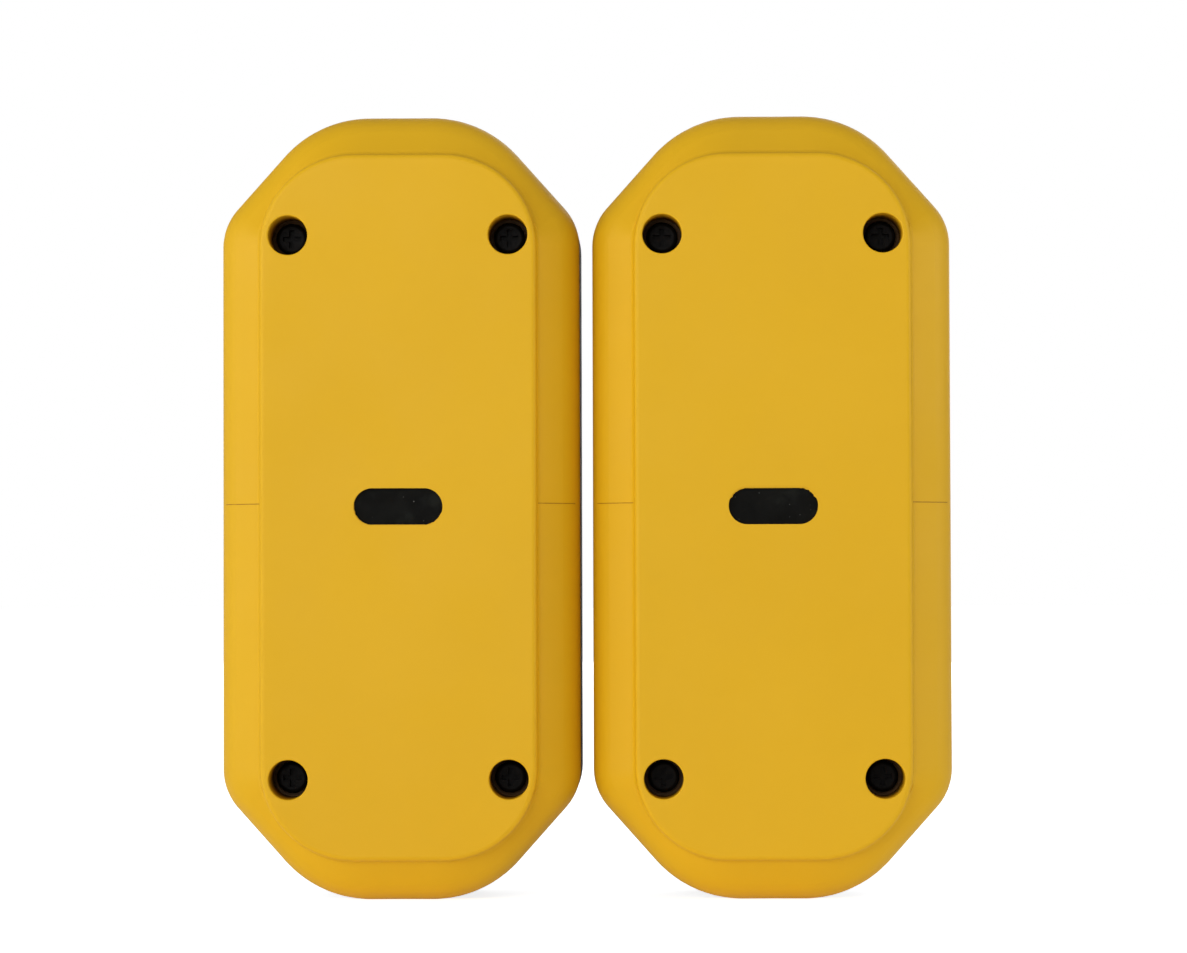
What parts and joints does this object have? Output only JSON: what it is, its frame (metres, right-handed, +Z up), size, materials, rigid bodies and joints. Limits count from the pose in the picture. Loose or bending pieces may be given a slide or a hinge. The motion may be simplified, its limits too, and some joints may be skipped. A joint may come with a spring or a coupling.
{
  "type": "circuit breaker finder",
  "caption": "Transmitter and receiver in matching octagonal hand-held cases, yellow back shells with a raised pad, screw wells and a hang-up slot, on dark front cases with keys and a dial.",
  "frame": {"origin": "midway between the two units, at the surface that they stand on", "axes": "+Z up along the units, +X from the transmitter to the receiver, -Y out of the yellow backs"},
  "size_m": [0.1304, 0.033, 0.14],
  "materials": {
    "yellow_shell": "satin moulded ABS, warm yellow",
    "charcoal_case": "fine-textured moulded ABS",
    "black_screw": "black oxide",
    "magnet": "black epoxy coat over ferrite",
    "inner_plastic": "plain moulding",
    "faceplate": "screen-printed polycarbonate, light grain",
    "key_orange": "satin",
    "key_grey": "satin",
    "knob": "satin",
    "board": "solder mask on glass fibre",
    "steel": "zinc plated",
    "black_part": "moulded epoxy",
    "battery_jacket": "printed metal jacket",
    "wire_red": "PVC insulation",
    "wire_black": "PVC insulation",
    "foam": "open-cell foam",
    "jack_red": "moulded insulator",
    "jack_black": "moulded insulator",
    "brass_part": "turned, nickel flashed",
    "copper": "enamelled copper winding",
    "glass_tube": "clear glass and plated caps",
    "ferrite": "sintered ferrite",
    "light_pipe": "diffusing polycarbonate",
    "lamp": "epoxy lens"
  },
  "bodies": {
    "transmitter": {"tx_back_shell": "yellow_shell", "tx_case_screws": "black_screw", "tx_bar_magnet": "magnet", "tx_magnet_clip": "inner_plastic", "tx_circuit_board": "board", "tx_board_screws": "steel", "tx_board_chips": "black_part", "tx_battery": "battery_jacket", "tx_battery_snap": "black_part", "tx_battery_lead_red": "wire_red", "tx_battery_lead_black": "wire_black", "tx_battery_pad": "foam", "tx_front_case": "charcoal_case", "tx_faceplate": "faceplate", "tx_key_switch": "black_part", "tx_jack_red": "jack_red", "tx_jack_black": "jack_black", "tx_jack_contacts": "brass_part", "tx_light_pipes": "light_pipe", "tx_leds": "lamp", "tx_level_switch": "black_part", "tx_transformer_core": "ferrite", "tx_transformer_winding": "copper", "tx_fuse": "glass_tube", "tx_fuse_clips": "brass_part"},
    "receiver": {"rx_back_shell": "yellow_shell", "rx_case_screws": "black_screw", "rx_bar_magnet": "magnet", "rx_magnet_clip": "inner_plastic", "rx_circuit_board": "board", "rx_board_screws": "steel", "rx_board_chips": "black_part", "rx_battery": "battery_jacket", "rx_battery_snap": "black_part", "rx_battery_lead_red": "wire_red", "rx_battery_lead_black": "wire_black", "rx_battery_pad": "foam", "rx_front_case": "charcoal_case", "rx_faceplate": "faceplate", "rx_key_switches": "black_part", "rx_light_bars": "light_pipe", "rx_leds": "lamp", "rx_potentiometer": "black_part", "rx_buzzer": "black_part", "rx_ferrite_rod": "ferrite", "rx_pickup_coil": "copper", "rx_coil_cradle": "inner_plastic", "rx_coil_leads": "copper"},
    "tx_power": {"tx_power_key": "key_orange"},
    "tx_level": {"tx_level_knob": "key_grey"},
    "rx_power": {"rx_power_key": "key_orange"},
    "rx_mute": {"rx_mute_key": "key_grey"},
    "rx_dial": {"rx_sensitivity_dial": "knob", "rx_dial_shaft": "inner_plastic"}
  },
  "joints": [
    {"name": "rx_apart", "type": "slide", "parent": "transmitter", "child": "receiver", "axis": [1, 0, 0], "range_m": [0, 0.035]},
    {"name": "tx_power_press", "type": "slide", "parent": "transmitter", "child": "tx_power", "axis": [0, -1, 0], "range_m": [0, 0.0007], "stiffness_N_per_m": 800},
    {"name": "tx_level_slide", "type": "slide", "parent": "transmitter", "child": "tx_level", "axis": [1, 0, 0], "range_m": [0, 0.0025]},
    {"name": "rx_power_press", "type": "slide", "parent": "receiver", "child": "rx_power", "axis": [0, -1, 0], "range_m": [0, 0.0007], "stiffness_N_per_m": 800},
    {"name": "rx_mute_press", "type": "slide", "parent": "receiver", "child": "rx_mute", "axis": [0, -1, 0], "range_m": [0, 0.0007], "stiffness_N_per_m": 800},
    {"name": "rx_dial_turn", "type": "hinge", "parent": "receiver", "child": "rx_dial", "pos_m": [0.03315, 0.01, 0.067], "axis": [0, 1, 0], "range_deg": [-135, 135]}
  ]
}
